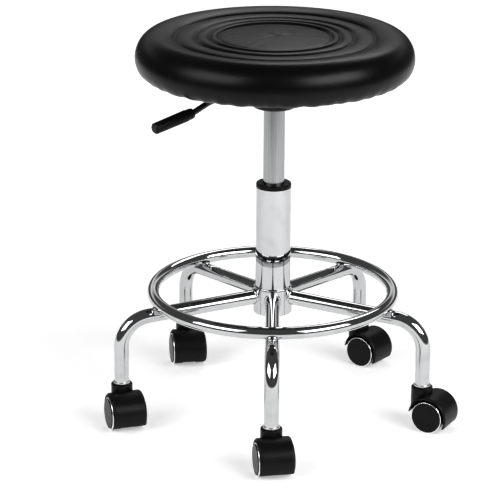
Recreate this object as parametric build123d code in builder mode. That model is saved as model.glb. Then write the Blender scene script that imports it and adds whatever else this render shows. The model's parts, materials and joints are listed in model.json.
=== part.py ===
"""An adjustable swivel stool on five casters, in millimetres, +Z up.

The origin is on the floor, on the column's axis. The front leg points along -Y. Every piece is
modelled where it sits with the seat at its middle height.
"""

import os
from math import cos, radians, sin, tan

from build123d import *

os.makedirs("parts", exist_ok=True)

# Casters, in their own frame: the stem stands on the origin and the wheels trail along +X.
WHEEL_RADIUS = 21.5
WHEEL_INNER_FACE = 9.0
WHEEL_SHOULDER = 21.3
WHEEL_OUTER_FACE = 24.0
WHEEL_DISC = 3.2
WHEEL_DISC_RADIUS = 19.8
WHEEL_DISC_EDGE = 0.6
WHEEL_TREAD = 3.5
WHEEL_TREAD_EDGE = 0.8
WHEEL_HUB_RADIUS = 7.5
TRAIL = 17.0
AXLE_RADIUS = 3.0
AXLE_HALF_LENGTH = 20.0
HOOD_RADIUS = 26.8
HOOD_WALL = 2.2
HOOD_HALF_WIDTH = 22.5
HOOD_FRONT_EDGE = 26.0
HOOD_REAR_DROP = 28.0
HOOD_EDGE = 3.5
WEB_HALF_WIDTH = 8.5
WEB_BOTTOM = 12.0
WEB_FRONT = -10.0
NECK_RADIUS = 14.0
NECK_TOP = 55.8
NECK_EDGE = 1.5
STEM_RADIUS = 5.5
STEM_FOOT = 25.0
STEM_TOP = 92.0
STEM_COLLAR = 1.0
STEM_COLLAR_RADIUS = 8.5

# Fits and gaps
RUNNING = 0.05
SWIVEL_GAP = 0.3

# Base
LEG_COUNT = 5
LEG_RADIUS = 9.5
LEG_WALL = 1.5
LEG_BOTTOM = 58.5
LEG_REACH = 206.8
LEG_BEND = 40.0
LEG_SLOPE = 4.5
LEG_HUB_HEIGHT = 156.6
SOCKET_TOP = 97.0
SOCKET_FLANGE_RADIUS = 11.0
SOCKET_SLIT = 1.2
RING_RADIUS = 158.0
RING_TUBE = 8.0
RING_BITE = 0.5
HUB_RADIUS = 25.5
HUB_BOTTOM = 135.0
HUB_TOP = 170.0
COLUMN_RADIUS = 23.0
COLUMN_WALL = 1.5
COLUMN_FLOOR = 3.0
COLUMN_TOP = 307.0
BUSH_TOP = 313.0
BUSH_DEPTH = 55.0

# Gas lift
TUBE_RADIUS = 14.0
TUBE_BORE = 12.0
TUBE_BOTTOM = 246.0
TUBE_TOP = 439.0
TAPER_TOP_RADIUS = 13.3
ROD_RADIUS = 5.0
ROD_BOTTOM = 127.0
PISTON_BOTTOM = 287.0
PISTON_HEIGHT = 14.0
GUIDE_HEIGHT = 12.0
VALVE_HEIGHT = 12.0
BUTTON_RADIUS = 4.0
BUTTON_FOOT = 431.0
BUTTON_TOP = 443.9
RACE_RADIUS = 16.0
RACE_HEIGHT = 2.5
BALL_RADIUS = 1.5
BALL_COUNT = 12
BUMP_STOP_TOP = 155.0
BUMP_STOP_RADIUS = 11.0
CLIP_RADIUS = 8.0
CLIP_HEIGHT = 2.0

# Seat mechanism
SOCKET_BOTTOM = 415.0
SOCKET_BODY_RADIUS = 19.0
TAPER_SOCKET_FLANGE = 28.0
TAPER_SOCKET_FLANGE_HEIGHT = 6.0
TAPER_TOP = 437.0
PAN_BOTTOM = 434.0
PAN_LENGTH = 80.0
PAN_WIDTH = 60.0
PAN_CORNER = 8.0
PAN_WALL = 2.5
LEVER_SLOT_WIDTH = 12.0
LEVER_SLOT_HEIGHT = 20.0
PLATE_SIDE = 150.0
PLATE_HEIGHT = 2.5
PLATE_OPENING = 32.0
BOLT_SPACING = 116.0
BOLT_RADIUS = 3.0
BOLT_HEAD_FLATS = 10.0
BOLT_HEAD_HEIGHT = 4.0

# Lever: its plane holds the column's axis, and x in it runs outwards from that axis.
LEVER_HEADING = 219.0
LEVER_RADIUS = 3.8
LEVER_HEIGHT = 448.0
LEVER_PIVOT = 24.0
LEVER_BARREL_RADIUS = 5.4
LEVER_BARREL_LENGTH = 14.0
LEVER_PATH = ((-2.0, 448.0), (50.0, 448.0), (106.0, 437.5), (130.0, 428.5), (152.0, 424.5))
LEVER_BEND = 45.0
GRIP_LENGTH = 60.0
GRIP_RADIUS = 7.6
PIN_RADIUS = 2.5

# Seat
BOARD_BOTTOM = 458.0
BOARD_HEIGHT = 12.0
BOARD_RADIUS = 158.0
COVER_WALL = 1.4
SEAT_RADIUS = 180.0
SEAT_TOP = 509.0
SEAT_CREST = 513.0
SEAT_CREST_RADIUS = 150.0
SEAT_FLAT_RADIUS = 112.0
SEAT_WAIST = 482.0
SEAT_HEM_RADIUS = 138.0
STAPLE_COUNT = 40
STAPLE_RING = 144.0
STAPLE_LENGTH = 10.0
STAPLE_WIRE = 0.9

LEGS = ("front", "right", "back_right", "back_left", "left")
LEG_HEADINGS = {name: -90 + 360 / LEG_COUNT * i for i, name in enumerate(LEGS)}
TRAIL_HEADINGS = {"front": -78.5, "right": -28, "back_right": -37, "back_left": -79, "left": -71}

BOARD_TOP = BOARD_BOTTOM + BOARD_HEIGHT
PLATE_BOTTOM = BOARD_BOTTOM - PLATE_HEIGHT
COLUMN_BORE = COLUMN_RADIUS - COLUMN_WALL
BEARING_FLOOR = HUB_BOTTOM + COLUMN_FLOOR
LEVER_LOCATION = Location((0, 0, 0), (0, 0, LEVER_HEADING))


def save(part, name):
    part.label = name
    export_step(part, f"parts/{name}.step")


def ring_profile(inner, outer, bottom, top):
    """Half of a ring's section, in the XZ plane, ready to revolve about Z."""
    with Locations(((inner + outer) / 2, (bottom + top) / 2)):
        Rectangle(outer - inner, top - bottom)


# --- Base -------------------------------------------------------------------------------------

with BuildPart() as hub_tube:
    with BuildSketch(Plane.XZ):
        ring_profile(COLUMN_RADIUS, HUB_RADIUS, HUB_BOTTOM, HUB_TOP)
    revolve(axis=Axis.Z)
    chamfer(hub_tube.edges().filter_by(GeomType.CIRCLE).sort_by(SortBy.RADIUS)[-2:], 0.8)
save(hub_tube.part, "hub_tube")

with BuildPart() as column_tube:
    with BuildSketch(Plane.XZ):
        ring_profile(COLUMN_BORE, COLUMN_RADIUS, HUB_BOTTOM, COLUMN_TOP)
        ring_profile(ROD_RADIUS + SWIVEL_GAP, COLUMN_BORE, HUB_BOTTOM, BEARING_FLOOR)
    revolve(axis=Axis.Z)
save(column_tube.part, "column_tube")

with BuildPart() as column_bush:
    with BuildSketch(Plane.XZ):
        ring_profile(TUBE_RADIUS + RUNNING, COLUMN_BORE, COLUMN_TOP - BUSH_DEPTH, COLUMN_TOP)
        ring_profile(TUBE_RADIUS + RUNNING, COLUMN_RADIUS, COLUMN_TOP, BUSH_TOP)
    revolve(axis=Axis.Z)
    fillet(column_bush.edges().group_by(Axis.Z)[-1].sort_by(SortBy.RADIUS)[-1], 2)
save(column_bush.part, "column_bush")

ring_height = (
    LEG_HUB_HEIGHT - (RING_RADIUS - HUB_RADIUS) * tan(radians(LEG_SLOPE)) + LEG_RADIUS + RING_TUBE - RING_BITE
)
with BuildPart() as foot_ring:
    with BuildSketch(Plane.XZ):
        with Locations((RING_RADIUS, ring_height)):
            Circle(RING_TUBE)
            Circle(RING_TUBE - LEG_WALL, mode=Mode.SUBTRACT)
    revolve(axis=Axis.Z)
save(foot_ring.part, "foot_ring")

# One leg along +X: it leaves the hub, slopes down under the foot ring and bends to the floor.
leg_corner_height = LEG_HUB_HEIGHT - (LEG_REACH - HUB_RADIUS) * tan(radians(LEG_SLOPE))
leg_root_height = LEG_HUB_HEIGHT + (HUB_RADIUS - COLUMN_RADIUS) * tan(radians(LEG_SLOPE))
with BuildPart() as leg:
    with BuildLine(Plane.XZ) as leg_path:
        FilletPolyline(
            (COLUMN_RADIUS, leg_root_height),
            (LEG_REACH, leg_corner_height),
            (LEG_REACH, LEG_BOTTOM),
            radius=LEG_BEND,
        )
    with BuildSketch(Plane(origin=leg_path.line @ 0, z_dir=leg_path.line % 0)):
        Circle(LEG_RADIUS)
        Circle(LEG_RADIUS - LEG_WALL, mode=Mode.SUBTRACT)
    sweep()
    with Locations((0, 0, LEG_HUB_HEIGHT)):
        Cylinder(HUB_RADIUS, 6 * LEG_RADIUS, mode=Mode.SUBTRACT)
    with Locations((0, 0, ring_height)):
        Torus(RING_RADIUS, RING_TUBE, mode=Mode.SUBTRACT)

with BuildPart() as caster_socket:
    with BuildSketch(Plane.XZ):
        ring_profile(STEM_RADIUS + RUNNING, LEG_RADIUS - LEG_WALL, LEG_BOTTOM, SOCKET_TOP)
        ring_profile(
            STEM_RADIUS + RUNNING, SOCKET_FLANGE_RADIUS, NECK_TOP + STEM_COLLAR + SWIVEL_GAP, LEG_BOTTOM
        )
    revolve(axis=Axis.Z)
    with Locations((LEG_RADIUS, 0, (LEG_BOTTOM + SOCKET_TOP) / 2)):
        Box(2 * LEG_RADIUS, SOCKET_SLIT, SOCKET_TOP, mode=Mode.SUBTRACT)

for name, heading in LEG_HEADINGS.items():
    with BuildPart() as placed_leg:
        with Locations(Location((0, 0, 0), (0, 0, heading))):
            add(leg.part)
    save(placed_leg.part, f"leg_{name}")

with BuildPart() as caster_sockets:
    with PolarLocations(LEG_REACH, LEG_COUNT, start_angle=LEG_HEADINGS["front"]):
        add(caster_socket.part)
save(caster_sockets.part, "caster_sockets")

# --- Casters ----------------------------------------------------------------------------------

axle_centre = (TRAIL, WHEEL_RADIUS)
hood_top = WHEEL_RADIUS + HOOD_RADIUS
rear_drop = radians(HOOD_REAR_DROP)
far_below = 3 * HOOD_RADIUS

with BuildPart() as hood:
    # The outside: a half round over the wheels, and a round neck that reaches down its front.
    with BuildSketch(Plane.XZ):
        with Locations(axle_centre):
            Circle(HOOD_RADIUS)
        Polygon(
            axle_centre,
            (TRAIL + far_below * cos(rear_drop), WHEEL_RADIUS - far_below * sin(rear_drop)),
            (TRAIL + far_below, -far_below),
            (-far_below, -far_below),
            (-far_below, HOOD_FRONT_EDGE),
            (TRAIL - HOOD_RADIUS, HOOD_FRONT_EDGE),
            align=None,
            mode=Mode.SUBTRACT,
        )
    extrude(amount=HOOD_HALF_WIDTH, both=True)
    side_edges = hood.faces().filter_by(Axis.Y).edges()
    fillet(side_edges.filter_by(lambda edge: (edge @ 0.5).Z > HOOD_FRONT_EDGE + 1), HOOD_EDGE)
    with BuildSketch(Plane.XY.offset(HOOD_FRONT_EDGE)):
        Circle(NECK_RADIUS)
    extrude(amount=NECK_TOP - HOOD_FRONT_EDGE)
    fillet(hood.edges().group_by(Axis.Z)[-1], NECK_EDGE)
    # The wells that the wheels turn in.
    for side in (-1, 1):
        with BuildSketch(Plane.XZ.offset(side * WEB_HALF_WIDTH)):
            with Locations(axle_centre):
                Circle(HOOD_RADIUS - HOOD_WALL)
        extrude(amount=side * HOOD_HALF_WIDTH, mode=Mode.SUBTRACT)
    # The web between the wheels carries the axle and the stem.
    with BuildSketch(Plane.XZ):
        with BuildLine():
            Polyline(
                (WEB_FRONT, HOOD_FRONT_EDGE),
                (WEB_FRONT, hood_top - HOOD_WALL),
                (TRAIL, hood_top - HOOD_WALL),
                (TRAIL + HOOD_RADIUS - HOOD_WALL, WHEEL_RADIUS),
                (TRAIL + HOOD_RADIUS * 0.6, WEB_BOTTOM),
                (TRAIL - HOOD_RADIUS * 0.4, WEB_BOTTOM),
                close=True,
            )
        make_face()
    extrude(amount=WEB_HALF_WIDTH, both=True)
    with BuildSketch(Plane.XY.offset(NECK_TOP)):
        Circle(STEM_RADIUS)
    extrude(amount=STEM_FOOT - NECK_TOP, mode=Mode.SUBTRACT)
    with BuildSketch(Plane.XZ):
        with Locations(axle_centre):
            Circle(AXLE_RADIUS)
    extrude(amount=WEB_HALF_WIDTH, both=True, mode=Mode.SUBTRACT)

with BuildPart() as stem:
    with BuildSketch(Plane.XZ):
        ring_profile(0, STEM_RADIUS, STEM_FOOT, STEM_TOP)
        ring_profile(0, STEM_COLLAR_RADIUS, NECK_TOP, NECK_TOP + STEM_COLLAR)
        with Locations((STEM_RADIUS, STEM_TOP - 8)):
            Rectangle(2, 3, mode=Mode.SUBTRACT)
    revolve(axis=Axis.Z)
    chamfer(stem.edges().group_by(Axis.Z)[-1], 1.5)

with BuildPart() as axle:
    with BuildSketch(Plane.XZ):
        with Locations(axle_centre):
            Circle(AXLE_RADIUS)
    extrude(amount=AXLE_HALF_LENGTH, both=True)


def wheel(side):
    """A cup-shaped wheel: a tread band, a raised outer disc, and a hub on the axle."""
    with BuildPart() as cup:
        with BuildSketch(Plane.XZ.offset(-side * WHEEL_INNER_FACE)):
            with Locations(axle_centre):
                Circle(WHEEL_RADIUS)
        extrude(amount=-side * (WHEEL_SHOULDER - WHEEL_INNER_FACE))
        fillet(cup.edges().filter_by(GeomType.CIRCLE), WHEEL_TREAD_EDGE)
        with BuildSketch(Plane.XZ.offset(-side * WHEEL_SHOULDER)):
            with Locations(axle_centre):
                Circle(WHEEL_DISC_RADIUS)
        extrude(amount=-side * (WHEEL_OUTER_FACE - WHEEL_SHOULDER))
        outer_face = cup.faces().sort_by(Axis.Y)[-1 if side > 0 else 0]
        fillet(outer_face.edges(), WHEEL_DISC_EDGE)
        with BuildSketch(Plane.XZ.offset(-side * WHEEL_INNER_FACE)):
            with Locations(axle_centre):
                Circle(WHEEL_RADIUS - WHEEL_TREAD)
                Circle(WHEEL_HUB_RADIUS, mode=Mode.SUBTRACT)
        extrude(amount=-side * (WHEEL_OUTER_FACE - WHEEL_INNER_FACE - WHEEL_DISC), mode=Mode.SUBTRACT)
        with BuildSketch(Plane.XZ.offset(-side * WHEEL_INNER_FACE)):
            with Locations(axle_centre):
                Circle(AXLE_RADIUS + RUNNING)
        extrude(amount=-side * (AXLE_HALF_LENGTH - WHEEL_INNER_FACE + SWIVEL_GAP), mode=Mode.SUBTRACT)
    return cup.part


caster_pieces = {
    "hood": hood.part,
    "stem": stem.part,
    "axle": axle.part,
    "wheel_a": wheel(1),
    "wheel_b": wheel(-1),
}
for name, heading in LEG_HEADINGS.items():
    stem_place = (LEG_REACH * cos(radians(heading)), LEG_REACH * sin(radians(heading)), 0)
    for piece_name, piece in caster_pieces.items():
        with BuildPart() as placed_piece:
            with Locations(Location(stem_place, (0, 0, TRAIL_HEADINGS[name]))):
                add(piece)
        save(placed_piece.part, f"{name}_caster_{piece_name}")

# --- Gas lift and bearing ---------------------------------------------------------------------

with BuildPart() as lower_race:
    with BuildSketch(Plane.XZ):
        ring_profile(ROD_RADIUS + 1, RACE_RADIUS, BEARING_FLOOR, BEARING_FLOOR + RACE_HEIGHT)
    revolve(axis=Axis.Z)
save(lower_race.part, "lower_race")

ball_height = BEARING_FLOOR + RACE_HEIGHT + BALL_RADIUS + RUNNING
ball_ring = (ROD_RADIUS + RACE_RADIUS) / 2
with BuildPart() as ball_cage:
    with BuildSketch(Plane.XZ):
        ring_profile(ROD_RADIUS + 2, RACE_RADIUS - 1, ball_height - 0.5, ball_height + 0.5)
    revolve(axis=Axis.Z)
    with Locations((0, 0, ball_height)):
        with PolarLocations(ball_ring, BALL_COUNT):
            Sphere(BALL_RADIUS)
save(ball_cage.part, "ball_cage")

upper_race_bottom = ball_height + BALL_RADIUS
upper_race_top = upper_race_bottom + RACE_HEIGHT
with BuildPart() as upper_race:
    with BuildSketch(Plane.XZ):
        ring_profile(ROD_RADIUS, RACE_RADIUS, upper_race_bottom, upper_race_top)
    revolve(axis=Axis.Z)
save(upper_race.part, "upper_race")

with BuildPart() as bump_stop:
    with BuildSketch(Plane.XZ):
        ring_profile(ROD_RADIUS, BUMP_STOP_RADIUS, upper_race_top, BUMP_STOP_TOP)
    revolve(axis=Axis.Z)
    fillet(bump_stop.edges().group_by(Axis.Z)[-1].sort_by(SortBy.RADIUS)[-1], 2)
save(bump_stop.part, "bump_stop")

with BuildPart() as piston_rod:
    with BuildSketch(Plane.XZ):
        ring_profile(0, ROD_RADIUS, ROD_BOTTOM, PISTON_BOTTOM + PISTON_HEIGHT)
    revolve(axis=Axis.Z)
    chamfer(piston_rod.edges().group_by(Axis.Z)[0], 0.8)
save(piston_rod.part, "piston_rod")

with BuildPart() as piston:
    with BuildSketch(Plane.XZ):
        ring_profile(ROD_RADIUS, TUBE_BORE - RUNNING, PISTON_BOTTOM, PISTON_BOTTOM + PISTON_HEIGHT)
        with Locations((TUBE_BORE, PISTON_BOTTOM + PISTON_HEIGHT / 2)):
            Rectangle(3, 3, mode=Mode.SUBTRACT)
    revolve(axis=Axis.Z)
save(piston.part, "piston")

with BuildPart() as rod_clip:
    with BuildSketch(Plane.XZ):
        ring_profile(ROD_RADIUS, CLIP_RADIUS, HUB_BOTTOM - SWIVEL_GAP - CLIP_HEIGHT, HUB_BOTTOM - SWIVEL_GAP)
    revolve(axis=Axis.Z)
save(rod_clip.part, "rod_clip")

with BuildPart() as pressure_tube:
    with BuildSketch(Plane.XZ):
        with BuildLine():
            Polyline(
                (TUBE_BORE, TUBE_BOTTOM),
                (TUBE_RADIUS, TUBE_BOTTOM),
                (TUBE_RADIUS, SOCKET_BOTTOM),
                (TAPER_TOP_RADIUS, TAPER_TOP),
                (TAPER_TOP_RADIUS, TUBE_TOP),
                (TUBE_BORE, TUBE_TOP),
                close=True,
            )
        make_face()
    revolve(axis=Axis.Z)
save(pressure_tube.part, "pressure_tube")

with BuildPart() as rod_guide:
    with BuildSketch(Plane.XZ):
        ring_profile(ROD_RADIUS + RUNNING, TUBE_BORE, TUBE_BOTTOM, TUBE_BOTTOM + GUIDE_HEIGHT)
    revolve(axis=Axis.Z)
save(rod_guide.part, "rod_guide")

with BuildPart() as valve_body:
    with BuildSketch(Plane.XZ):
        ring_profile(BUTTON_RADIUS + RUNNING, TUBE_BORE, TUBE_TOP - VALVE_HEIGHT, TUBE_TOP)
    revolve(axis=Axis.Z)
save(valve_body.part, "valve_body")

with BuildPart() as release_button:
    with BuildSketch(Plane.XZ):
        ring_profile(0, BUTTON_RADIUS, BUTTON_FOOT, BUTTON_TOP)
    revolve(axis=Axis.Z)
    fillet(release_button.edges().group_by(Axis.Z)[-1], 1)
save(release_button.part, "release_button")

# --- Seat mechanism ---------------------------------------------------------------------------

with BuildPart() as taper_socket:
    with BuildSketch(Plane.XZ):
        with BuildLine():
            Polyline(
                (TUBE_RADIUS, SOCKET_BOTTOM),
                (TAPER_SOCKET_FLANGE, SOCKET_BOTTOM),
                (TAPER_SOCKET_FLANGE, SOCKET_BOTTOM + TAPER_SOCKET_FLANGE_HEIGHT),
                (SOCKET_BODY_RADIUS, SOCKET_BOTTOM + TAPER_SOCKET_FLANGE_HEIGHT),
                (SOCKET_BODY_RADIUS, TAPER_TOP),
                (TAPER_TOP_RADIUS, TAPER_TOP),
                close=True,
            )
        make_face()
    revolve(axis=Axis.Z)
    fillet(taper_socket.edges().group_by(Axis.Z)[0].sort_by(SortBy.RADIUS)[-1], 2)
save(taper_socket.part, "taper_socket")

lever_plane = Plane((0, 0, 0), x_dir=(1, 0, 0), z_dir=(0, -1, 0))
pan_middle = Plane.XY.offset(PAN_BOTTOM)
with BuildPart() as pan:
    with BuildSketch(pan_middle):
        RectangleRounded(PAN_LENGTH, PAN_WIDTH, PAN_CORNER)
    extrude(amount=PLATE_BOTTOM - PAN_BOTTOM)
    with BuildSketch(pan_middle.offset(PAN_WALL)):
        RectangleRounded(
            PAN_LENGTH - 2 * PAN_WALL, PAN_WIDTH - 2 * PAN_WALL, PAN_CORNER - PAN_WALL
        )
    extrude(amount=PLATE_BOTTOM - PAN_BOTTOM, mode=Mode.SUBTRACT)
    with BuildSketch(pan_middle):
        Circle(SOCKET_BODY_RADIUS)
    extrude(amount=PAN_WALL, mode=Mode.SUBTRACT)
    with BuildSketch(Plane.YZ.offset(PAN_LENGTH / 4)):
        with Locations((0, PLATE_BOTTOM - LEVER_SLOT_HEIGHT / 2)):
            Rectangle(LEVER_SLOT_WIDTH, LEVER_SLOT_HEIGHT)
    extrude(amount=PAN_LENGTH / 2, mode=Mode.SUBTRACT)
    with BuildSketch(lever_plane):
        with Locations((LEVER_PIVOT, LEVER_HEIGHT)):
            Circle(PIN_RADIUS)
    extrude(amount=PAN_WIDTH, both=True, mode=Mode.SUBTRACT)
with BuildPart() as mechanism_pan:
    with Locations(LEVER_LOCATION):
        add(pan.part)
save(mechanism_pan.part, "mechanism_pan")

with BuildPart() as pin:
    with BuildSketch(lever_plane):
        with Locations((LEVER_PIVOT, LEVER_HEIGHT)):
            Circle(PIN_RADIUS)
    extrude(amount=PAN_WIDTH / 2 + 2, both=True)
with BuildPart() as pivot_pin:
    with Locations(LEVER_LOCATION):
        add(pin.part)
save(pivot_pin.part, "pivot_pin")

with BuildPart() as seat_plate:
    with BuildSketch(Plane.XY.offset(PLATE_BOTTOM)):
        RectangleRounded(PLATE_SIDE, PLATE_SIDE, 16)
        Circle(PLATE_OPENING, mode=Mode.SUBTRACT)
        with GridLocations(BOLT_SPACING, BOLT_SPACING, 2, 2):
            Circle(BOLT_RADIUS, mode=Mode.SUBTRACT)
    extrude(amount=PLATE_HEIGHT)
save(seat_plate.part, "seat_plate")

with BuildPart() as seat_board:
    with BuildSketch(Plane.XY.offset(BOARD_BOTTOM)):
        Circle(BOARD_RADIUS)
        with GridLocations(BOLT_SPACING, BOLT_SPACING, 2, 2):
            Circle(BOLT_RADIUS + 1.5, mode=Mode.SUBTRACT)
    extrude(amount=BOARD_HEIGHT)
save(seat_board.part, "seat_board")

with BuildPart() as plate_bolts:
    with BuildSketch(Plane.XY.offset(PLATE_BOTTOM - BOLT_HEAD_HEIGHT)):
        with GridLocations(BOLT_SPACING, BOLT_SPACING, 2, 2):
            RegularPolygon(BOLT_HEAD_FLATS / 2, 6, major_radius=False)
    extrude(amount=BOLT_HEAD_HEIGHT)
    with BuildSketch(Plane.XY.offset(PLATE_BOTTOM)):
        with GridLocations(BOLT_SPACING, BOLT_SPACING, 2, 2):
            Circle(BOLT_RADIUS)
    extrude(amount=PLATE_HEIGHT + BOARD_HEIGHT)
save(plate_bolts.part, "plate_bolts")

with BuildPart() as tee_nuts:
    with BuildSketch(Plane.XY.offset(BOARD_BOTTOM + 2)):
        with GridLocations(BOLT_SPACING, BOLT_SPACING, 2, 2):
            Circle(BOLT_RADIUS + 1.5)
            Circle(BOLT_RADIUS, mode=Mode.SUBTRACT)
    extrude(amount=BOARD_HEIGHT - 2)
    with BuildSketch(Plane.XY.offset(BOARD_TOP)):
        with GridLocations(BOLT_SPACING, BOLT_SPACING, 2, 2):
            Circle(9)
            Circle(BOLT_RADIUS, mode=Mode.SUBTRACT)
    extrude(amount=1.5)
save(tee_nuts.part, "tee_nuts")

# --- Lever ------------------------------------------------------------------------------------

with BuildPart() as rod:
    with BuildLine(lever_plane) as lever_path:
        FilletPolyline(*LEVER_PATH, radius=LEVER_BEND)
    with BuildSketch(Plane(origin=lever_path.line @ 0, z_dir=lever_path.line % 0)):
        Circle(LEVER_RADIUS)
    sweep()
    with BuildSketch(lever_plane):
        with Locations((LEVER_PIVOT, LEVER_HEIGHT)):
            Circle(LEVER_BARREL_RADIUS)
    extrude(amount=LEVER_BARREL_LENGTH / 2, both=True)
    with BuildSketch(lever_plane):
        with Locations((LEVER_PIVOT, LEVER_HEIGHT)):
            Circle(PIN_RADIUS + RUNNING)
    extrude(amount=LEVER_BARREL_LENGTH, both=True, mode=Mode.SUBTRACT)
with BuildPart() as lever_rod:
    with Locations(LEVER_LOCATION):
        add(rod.part)
save(lever_rod.part, "lever_rod")

# The grip slips over the rod's last straight run; its section is drawn along that run.
rod_end = lever_path.line @ 1
rod_direction = lever_path.line % 1
grip_start = rod_end - rod_direction * 20
grip_plane = Plane(origin=grip_start, x_dir=rod_direction, z_dir=(0, -1, 0))
with BuildPart() as handle:
    with BuildSketch(grip_plane):
        with BuildLine():
            Polyline(
                (20, 0),
                (20, LEVER_RADIUS),
                (0, LEVER_RADIUS),
                (0, GRIP_RADIUS - 1.2),
                (3, GRIP_RADIUS - 0.6),
                (8, GRIP_RADIUS - 0.6),
                (10, GRIP_RADIUS),
                (GRIP_LENGTH - 2, GRIP_RADIUS - 0.4),
                (GRIP_LENGTH, GRIP_RADIUS - 2.4),
                (GRIP_LENGTH, 0),
                close=True,
            )
        make_face()
    revolve(axis=Axis(grip_start, rod_direction))
with BuildPart() as lever_grip:
    with Locations(LEVER_LOCATION):
        add(handle.part)
save(lever_grip.part, "lever_grip")

# --- Cushion ----------------------------------------------------------------------------------


def cushion_outline(inset):
    """The cushion's section from the axis round the rim to under the board's edge."""
    hem_height = BOARD_BOTTOM - COVER_WALL + inset
    Line((0, SEAT_TOP - inset), (SEAT_FLAT_RADIUS, SEAT_TOP - inset))
    Spline(
        (SEAT_FLAT_RADIUS, SEAT_TOP - inset),
        (SEAT_CREST_RADIUS, SEAT_CREST - inset),
        (SEAT_RADIUS - inset, SEAT_WAIST),
        tangents=((1, 0), (0, -1)),
    )
    Spline(
        (SEAT_RADIUS - inset, SEAT_WAIST),
        (BOARD_RADIUS + COVER_WALL, hem_height),
        tangents=((0, -1), (-1, 0)),
    )


with BuildPart() as seat_cover:
    with BuildSketch(Plane.XZ):
        with BuildLine():
            cushion_outline(0)
            Polyline(
                (BOARD_RADIUS + COVER_WALL, BOARD_BOTTOM - COVER_WALL),
                (SEAT_HEM_RADIUS, BOARD_BOTTOM - COVER_WALL),
                (SEAT_HEM_RADIUS, BOARD_BOTTOM),
                (BOARD_RADIUS + COVER_WALL, BOARD_BOTTOM),
            )
            cushion_outline(COVER_WALL)
            Line((0, SEAT_TOP - COVER_WALL), (0, SEAT_TOP))
        make_face()
    revolve(axis=Axis.Z)
save(seat_cover.part, "seat_cover")

with BuildPart() as seat_foam:
    with BuildSketch(Plane.XZ):
        with BuildLine():
            cushion_outline(COVER_WALL)
            Polyline(
                (BOARD_RADIUS + COVER_WALL, BOARD_BOTTOM),
                (BOARD_RADIUS, BOARD_BOTTOM),
                (BOARD_RADIUS, BOARD_TOP),
                (0, BOARD_TOP),
                (0, SEAT_TOP - COVER_WALL),
            )
        make_face()
    revolve(axis=Axis.Z)
    with BuildSketch(Plane.XY.offset(BOARD_TOP)):
        with GridLocations(BOLT_SPACING, BOLT_SPACING, 2, 2):
            Circle(9)
    extrude(amount=1.5, mode=Mode.SUBTRACT)
save(seat_foam.part, "seat_foam")

with BuildPart() as seat_staples:
    with BuildSketch(Plane.XY.offset(BOARD_BOTTOM - COVER_WALL)):
        with PolarLocations(STAPLE_RING, STAPLE_COUNT):
            Rectangle(STAPLE_WIRE, STAPLE_LENGTH)
    extrude(amount=-STAPLE_WIRE)
save(seat_staples.part, "seat_staples")
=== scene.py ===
"""How the adjustable swivel stool looks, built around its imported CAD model.

The chrome base, the column and the casters keep their CAD shapes and get their finishes here. The
cushion, the weld beads and the wheels' trim rings are modelled here. Lengths are in metres.
"""

import json
import math
import random

import bpy
from mathutils import Matrix, Vector


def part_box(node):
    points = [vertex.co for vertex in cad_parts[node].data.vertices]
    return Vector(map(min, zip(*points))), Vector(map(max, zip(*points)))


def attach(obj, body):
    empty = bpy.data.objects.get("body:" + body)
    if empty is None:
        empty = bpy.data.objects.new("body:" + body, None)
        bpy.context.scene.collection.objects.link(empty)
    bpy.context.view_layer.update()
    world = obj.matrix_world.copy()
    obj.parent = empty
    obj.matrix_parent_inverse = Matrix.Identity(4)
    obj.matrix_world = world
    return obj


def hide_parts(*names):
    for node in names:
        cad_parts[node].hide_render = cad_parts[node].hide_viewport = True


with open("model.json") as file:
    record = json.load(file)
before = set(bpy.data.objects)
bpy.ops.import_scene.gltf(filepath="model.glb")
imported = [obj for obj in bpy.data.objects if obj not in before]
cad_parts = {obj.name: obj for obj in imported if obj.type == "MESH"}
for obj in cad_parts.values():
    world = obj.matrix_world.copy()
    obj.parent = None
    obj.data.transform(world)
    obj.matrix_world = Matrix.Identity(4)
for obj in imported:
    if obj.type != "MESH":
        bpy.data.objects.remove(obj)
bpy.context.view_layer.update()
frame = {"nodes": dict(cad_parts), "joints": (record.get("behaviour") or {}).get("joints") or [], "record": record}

MM = 0.001
WHEEL_SHOULDER = 21.3 * MM
LEGS = ("front", "right", "back_right", "back_left", "left")
LEG_HEADINGS = {name: -90 + 72 * i for i, name in enumerate(LEGS)}
nodes = frame["nodes"]
joints = {joint["name"]: joint for joint in frame["joints"]}


# --- Shader maths -----------------------------------------------------------------------------


class Wire:
    """A socket whose arithmetic adds Math nodes to its tree."""

    def __init__(self, tree, socket):
        self.tree = tree
        self.socket = socket

    def maths(self, operation, *values):
        return self.tree.add("ShaderNodeMath", {"operation": operation}, *values)

    def __add__(self, other):
        return self.maths("ADD", self, other)

    def __sub__(self, other):
        return self.maths("SUBTRACT", self, other)

    def __mul__(self, other):
        return self.maths("MULTIPLY", self, other)

    def __truediv__(self, other):
        return self.maths("DIVIDE", self, other)

    def __rsub__(self, other):
        return self.maths("SUBTRACT", other, self)

    def __pow__(self, other):
        return self.maths("POWER", self, other)

    __radd__ = __add__
    __rmul__ = __mul__

    def clamp(self):
        return self.maths("MAXIMUM", self.maths("MINIMUM", self, 1.0), 0.0)

    def ramp(self, low, high):
        """0 below low, 1 above high, and smooth between them."""
        return self.tree.add(
            "ShaderNodeMapRange", {"interpolation_type": "SMOOTHSTEP"}, self, low, high, 0.0, 1.0
        )


class Tree:
    """A node tree that is built by one call for each node."""

    def __init__(self, node_tree):
        self.nodes = node_tree.nodes
        self.links = node_tree.links

    def add(self, kind, settings=None, *values, out=0, **named):
        node = self.nodes.new(kind)
        for name, value in (settings or {}).items():
            setattr(node, name, value)
        for key, value in [*enumerate(values), *named.items()]:
            socket = node.inputs[key.replace("_", " ") if isinstance(key, str) else key]
            if isinstance(value, Wire):
                self.links.new(value.socket, socket)
            else:
                socket.default_value = value
        return Wire(self, node.outputs[out])


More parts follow.
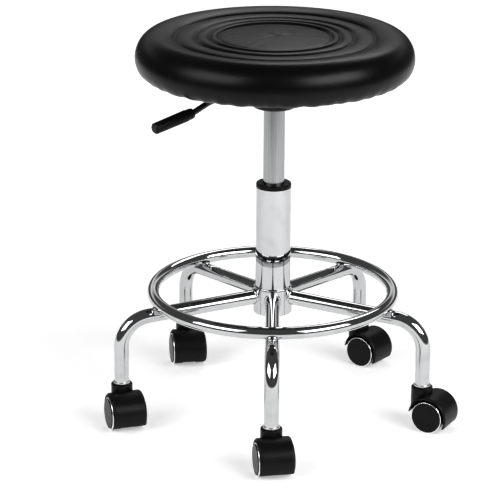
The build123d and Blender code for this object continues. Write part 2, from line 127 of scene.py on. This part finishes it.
class Finish(Tree):
    """A material on a Principled shader, with patterns in the piece's own coordinates."""

    def __init__(self, name, colour, roughness, **plain):
        self.material = bpy.data.materials.new(name)
        self.material.use_nodes = True
        super().__init__(self.material.node_tree)
        self.shader = self.nodes["Principled BSDF"]
        self.shader.inputs["Base Color"].default_value = (*colour, 1.0)
        self.shader.inputs["Roughness"].default_value = roughness
        for key, value in plain.items():
            self.shader.inputs[key.replace("_", " ")].default_value = value
        self.material.diffuse_color = (*colour, 1.0)
        self.place = self.add("ShaderNodeTexCoord", out="Object")

    def stretched(self, x, y, z):
        return self.add("ShaderNodeMapping", {}, Vector=self.place, Scale=(x, y, z))

    def noise(self, scale, detail=3.0, roughness=0.55, place=None):
        return self.add(
            "ShaderNodeTexNoise", {}, Vector=place or self.place, Scale=scale, Detail=detail,
            Roughness=roughness,
        )

    def cells(self, scale, place=None, feature="F1"):
        return self.add(
            "ShaderNodeTexVoronoi", {"feature": feature}, Vector=place or self.place, Scale=scale
        )

    def set(self, socket, wire):
        self.links.new(wire.socket, self.shader.inputs[socket])

    def tint(self, mask, dark, light, socket="Base Color"):
        """A colour that goes from dark, where the mask is 0, to light, where it is 1."""
        mixed = self.add("ShaderNodeMix", {"data_type": "RGBA"}, out=2)
        node = mixed.socket.node
        self.links.new(mask.socket, node.inputs[0])
        node.inputs[6].default_value = (*dark, 1.0)
        node.inputs[7].default_value = (*light, 1.0)
        self.set(socket, mixed)

    def bump(self, height, distance):
        relief = self.add("ShaderNodeBump", {}, Height=height, Distance=distance, Strength=1.0)
        self.set("Normal", relief)


def chrome():
    """Bright plate: long soft polishing waves, and a faint haze of handling marks."""
    finish = Finish("polished_chrome", (0.54, 0.545, 0.55), 0.05, Metallic=1.0)
    haze = finish.noise(45.0).ramp(0.45, 0.75)
    scuffs = finish.noise(900.0, 2.0, 0.5, finish.stretched(1.0, 1.0, 0.15)).ramp(0.6, 0.8)
    finish.set("Roughness", 0.035 + haze * 0.04 + scuffs * 0.03)
    finish.tint(haze, (0.56, 0.565, 0.57), (0.50, 0.505, 0.51))
    finish.bump(finish.noise(60.0, 1.0), 0.02 * MM)
    return finish.material


def satin_chrome():
    """The lift tube: drawn steel, with fine streaks along its length."""
    finish = Finish("satin_chrome", (0.38, 0.385, 0.39), 0.2, Metallic=1.0)
    streaks = finish.noise(420.0, 4.0, 0.6, finish.stretched(1.0, 1.0, 0.01))
    fine = finish.noise(1600.0, 2.0, 0.5, finish.stretched(1.0, 1.0, 0.02))
    finish.set("Roughness", 0.14 + streaks * 0.12)
    finish.tint(streaks.ramp(0.3, 0.7), (0.32, 0.325, 0.33), (0.44, 0.445, 0.45))
    finish.bump(streaks * 0.7 + fine * 0.3, 0.03 * MM)
    return finish.material


def vinyl():
    """Black upholstery vinyl: shallow pebbled grain, with a satin shine that varies a little."""
    finish = Finish("black_vinyl", (0.005, 0.005, 0.0055), 0.3, Specular_IOR_Level=0.22)
    grain = finish.cells(1500.0)
    creases = finish.noise(520.0, 4.0, 0.6)
    wear = finish.noise(14.0, 2.0).ramp(0.4, 0.75)
    finish.set("Roughness", 0.27 + creases * 0.07 + wear * 0.05)
    finish.tint(wear, (0.004, 0.004, 0.0045), (0.007, 0.007, 0.0075))
    finish.bump(grain * 0.6 + creases * 0.4, 0.05 * MM)
    return finish.material


def moulded(name, colour, roughness, grain, depth):
    """Moulded plastic with an eroded texture of the given grain (features per metre) and depth."""
    finish = Finish(name, colour, roughness, Specular_IOR_Level=0.18)
    texture = finish.noise(grain, 3.0, 0.6)
    flow = finish.noise(30.0, 2.0)
    finish.set("Roughness", roughness - 0.05 + texture * 0.08 + flow * 0.04)
    light = tuple(channel * 1.6 + 0.001 for channel in colour)
    finish.tint((texture * 0.6 + flow * 0.4).ramp(0.35, 0.7), colour, light)
    finish.bump(texture, depth)
    return finish.material


def zinc():
    """Zinc-plated steel: a pale spangle and fine scratches."""
    finish = Finish("zinc_steel", (0.62, 0.62, 0.61), 0.3, Metallic=1.0)
    spangle = finish.cells(260.0)
    scratches = finish.noise(1400.0, 2.0, 0.5, finish.stretched(1.0, 0.2, 1.0))
    finish.set("Roughness", 0.24 + spangle * 0.1 + scratches * 0.1)
    finish.tint(spangle.ramp(0.1, 0.8), (0.52, 0.52, 0.51), (0.70, 0.70, 0.69))
    finish.bump(scratches, 0.02 * MM)
    return finish.material


def powder_coat():
    """Black powder coat with its orange peel."""
    finish = Finish("black_powder_coat", (0.014, 0.014, 0.015), 0.36)
    peel = finish.noise(650.0, 2.0)
    finish.set("Roughness", 0.3 + peel * 0.12)
    finish.tint(finish.noise(20.0).ramp(0.4, 0.7), (0.012, 0.012, 0.013), (0.020, 0.020, 0.021))
    finish.bump(peel, 0.05 * MM)
    return finish.material


def plywood():
    """The board's underside: stained black, with its long grain and short pores still showing."""
    finish = Finish("stained_plywood", (0.045, 0.042, 0.040), 0.6)
    bands = finish.noise(26.0, 5.0, 0.6, finish.stretched(1.0, 0.08, 1.0))
    pores = finish.noise(900.0, 2.0, 0.5, finish.stretched(1.0, 0.05, 1.0)).ramp(0.58, 0.7)
    finish.tint((bands + pores * 0.4).clamp(), (0.060, 0.055, 0.050), (0.022, 0.021, 0.020))
    finish.set("Roughness", 0.52 + bands * 0.14)
    finish.bump(bands * 0.5 + pores * -0.5, 0.12 * MM)
    return finish.material


def rubber():
    finish = Finish("black_rubber", (0.02, 0.02, 0.02), 0.75)
    bloom = finish.noise(160.0, 4.0)
    finish.set("Roughness", 0.66 + bloom * 0.16)
    finish.tint(bloom.ramp(0.4, 0.7), (0.018, 0.018, 0.018), (0.032, 0.032, 0.032))
    finish.bump(bloom, 0.05 * MM)
    return finish.material


def foam():
    finish = Finish("foam", (0.85, 0.80, 0.66), 0.95)
    pores = finish.cells(900.0)
    finish.tint(pores.ramp(0.1, 0.6), (0.70, 0.64, 0.50), (0.88, 0.83, 0.70))
    finish.set("Roughness", 0.88 + pores * 0.1)
    finish.bump(pores, 0.4 * MM)
    return finish.material


def silver_trim():
    """Hot-foiled silver on the wheels' rim rings."""
    finish = Finish("silver_trim", (0.88, 0.88, 0.89), 0.22, Metallic=1.0)
    rubbed = finish.noise(220.0, 3.0).ramp(0.5, 0.75)
    finish.set("Roughness", 0.15 + rubbed * 0.2)
    finish.tint(rubbed, (0.90, 0.90, 0.91), (0.76, 0.76, 0.77))
    finish.bump(rubbed, 0.02 * MM)
    return finish.material


finishes = {
    "chrome_tube": chrome(),
    "satin_chrome": satin_chrome(),
    "black_bush": moulded("bush_plastic", (0.005, 0.005, 0.005), 0.42, 1200.0, 0.03 * MM),
    "zinc_steel": zinc(),
    "black_rubber": rubber(),
    "black_painted_steel": powder_coat(),
    "grip_plastic": moulded("grip_plastic", (0.005, 0.005, 0.005), 0.36, 1500.0, 0.04 * MM),
    "plywood": plywood(),
    "foam": foam(),
    "black_vinyl": vinyl(),
    "caster_nylon": moulded("caster_nylon", (0.006, 0.006, 0.006), 0.36, 2200.0, 0.05 * MM),
    "wheel_nylon": moulded("wheel_nylon", (0.004, 0.004, 0.004), 0.32, 2600.0, 0.03 * MM),
}
for subpart in frame["record"]["subparts"]:
    node = nodes[subpart["node"]]
    node.data.materials.clear()
    node.data.materials.append(finishes[subpart["material_slot"]])


# --- Modelling by hand ------------------------------------------------------------------------


def deselect():
    if bpy.context.object and bpy.context.object.mode != "OBJECT":
        bpy.ops.object.mode_set(mode="OBJECT")
    bpy.ops.object.select_all(action="DESELECT")


def finish_piece(piece, name, body, slot, material=None):
    """Names a piece, bakes its place into its mesh, and hangs it on its body."""
    deselect()
    piece.select_set(True)
    bpy.context.view_layer.objects.active = piece
    bpy.ops.object.transform_apply(location=True, rotation=True, scale=True)
    piece.name = name
    piece.data.name = name
    piece.data.materials.clear()
    piece.data.materials.append(material or finishes[slot])
    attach(piece, body)
    return piece


def turned(profile, segments, closed=False):
    """Turns a section about Z: a circle at its first point is extruded from point to point.

    The ends close on the axis where their radius is 0. A closed section joins its two ends.
    """
    deselect()
    start_radius, start_height = profile[0]
    bpy.ops.mesh.primitive_circle_add(
        vertices=segments, radius=max(start_radius, 1e-5), location=(0, 0, start_height)
    )
    piece = bpy.context.object
    bpy.ops.object.transform_apply(location=True)
    bpy.ops.object.mode_set(mode="EDIT")
    bpy.ops.mesh.select_all(action="SELECT")
    radius, height = max(start_radius, 1e-5), start_height
    for next_radius, next_height in [*profile[1:], *([profile[0]] if closed else [])]:
        bpy.ops.mesh.extrude_region_move(
            TRANSFORM_OT_translate={"value": (0, 0, next_height - height)}
        )
        scale = max(next_radius, 1e-5) / radius
        bpy.ops.transform.resize(value=(scale, scale, 1), center_override=(0, 0, 0))
        radius, height = max(next_radius, 1e-5), next_height
    bpy.ops.mesh.select_all(action="SELECT")
    bpy.ops.mesh.remove_doubles(threshold=5e-5)
    bpy.ops.mesh.normals_make_consistent(inside=False)
    bpy.ops.object.mode_set(mode="OBJECT")
    bpy.ops.object.shade_smooth()
    return piece


def apply_modifier(piece, kind, **settings):
    bpy.context.view_layer.objects.active = piece
    modifier = piece.modifiers.new(kind.title(), kind)
    for name, value in settings.items():
        setattr(modifier, name, value)
    bpy.ops.object.modifier_apply(modifier=modifier.name)


# --- Cushion ----------------------------------------------------------------------------------

GROOVES = (72 * MM, 84 * MM, 102 * MM, 128 * MM)
GROOVE_DEPTH = 2.4 * MM
GROOVE_HALF_WIDTH = 1.6 * MM
BEAD_RISE = 1.6 * MM
CREST_GAP = 1.5 * MM
DISC_DROP = 4.5 * MM
RIM_RADIUS = 179.0 * MM
RIM_CREST = 152.0 * MM
WAIST_RISE = 24 * MM
FOLD_RADIUS = 160 * MM
HEM_RADII = (155, 150, 145, 140, 138)
CUSHION_SEGMENTS = 192
HELD_HEM = 6 * MM
CLOTH_REACH = 3.0 * MM
PLEATS = 46
PLEAT_TURN = 0.035
PLEAT_RISE = 20 * MM
PLEAT_PULL = 2.2 * MM
PLEAT_INNER = 130 * MM
PLEAT_OUTER = 157 * MM


def cushion_profile():
    """The cushion's section from its flat middle, over the grooves and the rim, to its hem."""
    low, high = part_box("seat_cover")
    crest, hem = high.z - CREST_GAP, low.z
    level = crest - DISC_DROP
    points = [(0.0, level)]
    stops = [0.0, *GROOVES]
    for inner, outer in zip(stops, stops[1:]):
        if inner:
            points.append((inner, level - GROOVE_DEPTH))
            points.append((inner + GROOVE_HALF_WIDTH, level - GROOVE_DEPTH * 0.25))
        steps = max(4, round((outer - inner) / (5 * MM)))
        for step in range(1, steps):
            share = step / steps
            rise = BEAD_RISE * math.sin(math.pi * share) if inner else 0.0
            points.append((inner + (outer - inner) * share, level + rise))
        points.append((outer - GROOVE_HALF_WIDTH, level - GROOVE_DEPTH * 0.25))
    shoulder = GROOVES[-1]
    points.append((shoulder, level - GROOVE_DEPTH))
    points.append((shoulder + GROOVE_HALF_WIDTH, level - GROOVE_DEPTH * 0.25))
    for step in range(1, 7):
        share = step / 6
        rise = math.sin(share * math.pi / 2)
        points.append((shoulder + (RIM_CREST - shoulder) * share, level + (crest - level) * rise))
    waist = hem + WAIST_RISE
    for step in range(1, 13):
        turn = step / 12 * math.pi / 2
        points.append(
            (
                RIM_CREST + (RIM_RADIUS - RIM_CREST) * math.sin(turn),
                waist + (crest - waist) * math.cos(turn),
            )
        )
    for step in range(1, 9):
        turn = step / 8 * math.pi / 2
        points.append(
            (
                FOLD_RADIUS + (RIM_RADIUS - FOLD_RADIUS) * math.cos(turn),
                waist - (waist - hem) * math.sin(turn),
            )
        )
    for radius in HEM_RADII:
        points.append((radius * MM, hem))
    return points


def make_cushion():
    cushion = turned(cushion_profile(), CUSHION_SEGMENTS)
    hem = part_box("seat_cover")[0].z
    inflate(cushion, hem + HELD_HEM)
    pleat(cushion, hem)
    apply_modifier(cushion, "SUBSURF", levels=2, render_levels=2)
    cushion = finish_piece(cushion, "seat_cushion", "seat", "black_vinyl")
    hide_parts("seat_cover", "seat_foam")


def inflate(cushion, hem_height):
    """Blows the cover up against its pressed grooves with a short cloth simulation."""
    held = cushion.vertex_groups.new(name="held")
    for vertex in cushion.data.vertices:
        radius = math.hypot(vertex.co.x, vertex.co.y)
        near_groove = any(abs(radius - groove) < 0.5 * MM for groove in GROOVES)
        if near_groove or vertex.co.z < hem_height:
            held.add([vertex.index], 1.0, "REPLACE")
    before = [vertex.co.copy() for vertex in cushion.data.vertices]
    bpy.context.view_layer.objects.active = cushion
    cloth = cushion.modifiers.new("Cloth", "CLOTH")
    cloth.settings.quality = 6
    cloth.settings.mass = 0.3
    cloth.settings.tension_stiffness = 25
    cloth.settings.compression_stiffness = 25
    cloth.settings.bending_stiffness = 25
    cloth.settings.use_pressure = True
    cloth.settings.uniform_pressure_force = 4.0
    cloth.settings.vertex_group_mass = "held"
    cloth.settings.effector_weights.gravity = 0.0
    cloth.collision_settings.use_collision = False
    for step in range(1, 21):
        bpy.context.scene.frame_set(step)
    bpy.ops.object.modifier_apply(modifier=cloth.name)
    bpy.context.scene.frame_set(1)
    for vertex, start in zip(cushion.data.vertices, before):
        move = vertex.co - start
        if move.length > CLOTH_REACH:
            vertex.co = start + move.normalized() * CLOTH_REACH


def pleat(cushion, hem_height):
    """Gathers the cover in small folds where it is drawn under the board."""
    chance = random.Random(7)
    folds = []
    for i in range(PLEATS):
        centre = 2 * math.pi * (i + chance.uniform(-0.3, 0.3)) / PLEATS
        folds.append((centre, chance.uniform(0.5, 1.0)))
    for vertex in cushion.data.vertices:
        height = vertex.co.z - hem_height
        if height > PLEAT_RISE or vertex.co.xy.length < PLEAT_INNER:
            continue
        angle = math.atan2(vertex.co.y, vertex.co.x)
        depth = 0.0
        for centre, size in folds:
            offset = (angle - centre + math.pi) % (2 * math.pi) - math.pi
            depth += size * math.exp(-((offset / PLEAT_TURN) ** 2))
        reach = (1 - height / PLEAT_RISE) ** 2
        pull = depth * reach * PLEAT_PULL
        vertex.co.xy -= vertex.co.xy.normalized() * pull
        if vertex.co.xy.length > PLEAT_OUTER:
            vertex.co.z += pull * 0.7


make_cushion()


# --- Wheels' trim rings -----------------------------------------------------------------------


TRIM_SECTION = (
    (19.85, 0.0),
    (19.9, 1.1),
    (20.3, 1.5),
    (20.9, 1.3),
    (21.4, 0.5),
    (21.3, -0.25),
    (19.85, -0.25),
)


def make_trim_rings():
    """A silver ring on the shoulder between each wheel's tread and its outer disc."""
    silver = silver_trim()
    ring = turned([(radius * MM, height * MM) for radius, height in TRIM_SECTION], 96, closed=True)
    for leg in LEGS:
        for mark, side in (("a", 1), ("b", -1)):
            joint = joints[f"{leg}_caster_roll_{mark}"]
            axis = Vector(joint["axis"]) * side
            piece = ring.copy()
            piece.data = ring.data.copy()
            bpy.context.scene.collection.objects.link(piece)
            turn = Vector((0, 0, 1)).rotation_difference(axis).to_matrix().to_4x4()
            shoulder = Vector(joint["pos_m"]) + axis * WHEEL_SHOULDER
            piece.matrix_world = Matrix.Translation(shoulder) @ turn
            bpy.context.view_layer.update()
            name, wheel = f"{leg}_caster_trim_{mark}", f"{leg}_caster_wheel_{mark}"
            finish_piece(piece, name, wheel, "wheel_nylon", silver)
    bpy.data.objects.remove(ring)


make_trim_rings()


# --- Weld beads -------------------------------------------------------------------------------

HUB_RADIUS = 25.5 * MM
LEG_RADIUS = 9.5 * MM
RING_RADIUS = 158.0 * MM
LEG_SLOPE = math.radians(4.5)
BEAD_RIPPLES = 28
RIPPLE_SHARE = 0.035
USUAL_BEAD = 1.4 * MM


def bead(major, minor, squash=1.0):
    """A weld bead about Z: a torus with the ripples of a hand-run weld."""
    deselect()
    bpy.ops.mesh.primitive_torus_add(
        major_radius=major, minor_radius=minor, major_segments=96, minor_segments=14
    )
    piece = bpy.context.object
    piece.scale = (1.0, 1.0, squash)
    bpy.ops.object.transform_apply(scale=True)
    phase = random.Random(3).uniform(0, 6)
    for vertex in piece.data.vertices:
        angle = math.atan2(vertex.co.y, vertex.co.x)
        ripple = 1 + RIPPLE_SHARE * math.sin(BEAD_RIPPLES * angle + phase) * minor / USUAL_BEAD
        centre = vertex.co.copy()
        centre.z = 0
        centre = centre.normalized() * major
        vertex.co = centre + (vertex.co - centre) * ripple
    bpy.ops.object.shade_smooth()
    return piece


def copy_piece(piece, matrix, name):
    twin = piece.copy()
    twin.data = piece.data.copy()
    bpy.context.scene.collection.objects.link(twin)
    twin.matrix_world = matrix
    bpy.context.view_layer.update()
    return finish_piece(twin, name, "base", "chrome_tube")


def make_welds():
    """Plated beads: round each leg at the hub, under the ring, and round the column on the hub."""
    column_bead = bead(23.4 * MM, 1.5 * MM)
    hub_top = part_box("hub_tube")[1].z
    copy_piece(column_bead, Matrix.Translation((0, 0, hub_top + 0.2 * MM)), "weld_column")
    leg_bead = bead(LEG_RADIUS + 0.3 * MM, USUAL_BEAD)
    ring_bead = bead(4.6 * MM, 1.7 * MM, 0.8)
    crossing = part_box("foot_ring")[0].z + 0.4 * MM
    root = crossing - LEG_RADIUS + (RING_RADIUS - HUB_RADIUS) * math.tan(LEG_SLOPE)
    for leg, heading in LEG_HEADINGS.items():
        spin = Matrix.Rotation(math.radians(heading), 4, "Z")
        lean = Matrix.Rotation(math.pi / 2 + LEG_SLOPE, 4, "Y")
        weld = copy_piece(leg_bead, Matrix.Identity(4), f"weld_hub_{leg}")
        for vertex in weld.data.vertices:
            out = math.sqrt(max(HUB_RADIUS**2 - vertex.co.y**2, 0))
            vertex.co = lean @ vertex.co
            vertex.co.x += out + 0.2 * MM
            vertex.co.z += root
            vertex.co = spin @ vertex.co
        tilt = Matrix.Rotation(LEG_SLOPE, 4, "Y")
        place = spin @ Matrix.Translation((RING_RADIUS, 0, crossing)) @ tilt
        copy_piece(ring_bead, place, f"weld_ring_{leg}")
    for pattern in (column_bead, leg_bead, ring_bead):
        bpy.data.objects.remove(pattern)


make_welds()


# --- Studio -----------------------------------------------------------------------------------


def aim(thing, target):
    thing.rotation_euler = (Vector(target) - thing.location).to_track_quat("-Z", "Y").to_euler()


def softbox(name, place, target, size, power):
    light = bpy.data.lights.new(name, "AREA")
    light.shape = "RECTANGLE"
    light.size, light.size_y = size
    light.energy = power
    thing = bpy.data.objects.new(name, light)
    thing.location = place
    bpy.context.scene.collection.objects.link(thing)
    aim(thing, target)


def make_floor():
    """A white floor with painted light: painted shade darkens its colour away from the stool, and a painted glow,
    brighter towards the back, fades away from the stool.
    """
    deselect()
    bpy.ops.mesh.primitive_plane_add(size=14, location=(0, 0, 0))
    floor = bpy.context.object
    floor.name = "studio_floor"
    paper = Finish("studio_paper", (0.93, 0.93, 0.93), 0.9)
    split = paper.add("ShaderNodeSeparateXYZ", {}, paper.place).socket.node
    x, y = (Wire(paper, split.outputs[axis]) for axis in "XY")
    away = (x / 1.6) ** 2.0 + ((y - 0.9) / 1.8) ** 2.0
    # Painted shade: the floor's colour darkens away from the stool, as it would under a studio's lights.
    painted_falloff = away.ramp(1.0, 2.2)
    paper.tint(painted_falloff, (0.93, 0.93, 0.93), (0.22, 0.22, 0.22))
    # Painted light: the floor glows, brighter towards the back and fainter away from the stool.
    painted_glow = (0.59 + y.ramp(0.0, 1.8) * 0.41) * (1.0 - painted_falloff * 0.9)
    paper.tint(painted_glow, (0.0, 0.0, 0.0), (1.0, 1.0, 1.0), "Emission Color")
    paper.shader.inputs["Emission Strength"].default_value = 0.58
    paper.shader.inputs["Specular IOR Level"].default_value = 0.1
    floor.data.materials.append(paper.material)


def make_room():
    """A dim room, with a pale band low behind the stool."""
    world = bpy.data.worlds.new("studio")
    bpy.context.scene.world = world
    world.use_nodes = True
    tree = Tree(world.node_tree)
    background = world.node_tree.nodes["Background"]
    direction = tree.add("ShaderNodeTexCoord", out="Generated")
    split = tree.add("ShaderNodeSeparateXYZ", {}, direction).socket.node
    y, z = (Wire(tree, split.outputs[axis]) for axis in "YZ")
    band = z.ramp(0.2, 0.3) * (1.0 - z.ramp(0.3, 0.42))
    glow = 0.09 + band * y.ramp(0.3, 0.9) * 0.74
    tree.links.new(glow.socket, background.inputs["Strength"])
    background.inputs["Color"].default_value = (1.0, 1.0, 1.0, 1.0)


def make_lights():
    """Two wide soft boxes in front, the right one brighter, and a faint one behind."""
    middle = (0, 0, 0.3)
    softbox("right_light", (2.0, -1.6, 1.75), middle, (2.3, 1.4), 56)
    softbox("left_light", (-2.0, -1.5, 1.75), middle, (2.3, 1.4), 36)
    softbox("back_light", (0.6, 2.2, 2.3), middle, (1.6, 0.8), 12)


def make_camera():
    camera_data = bpy.data.cameras.new("camera")
    camera_data.sensor_width = 36.0
    camera_data.lens = 163.5
    camera = bpy.data.objects.new("camera", camera_data)
    bpy.context.scene.collection.objects.link(camera)
    yaw, pitch, roll = math.radians(0.616), math.radians(19.05), math.radians(0.35)
    heading = Matrix.Rotation(yaw, 3, "Z") @ Matrix.Rotation(math.pi / 2 - pitch, 3, "X")
    heading = heading @ Matrix.Rotation(roll, 3, "Z")
    camera.matrix_world = Matrix.Translation((0.0, -2.82, 1.193)) @ heading.to_4x4()
    bpy.context.scene.camera = camera


make_floor()
make_room()
make_lights()
make_camera()
bpy.context.scene.view_settings.view_transform = "Standard"
bpy.context.scene.view_settings.look = "Medium High Contrast"
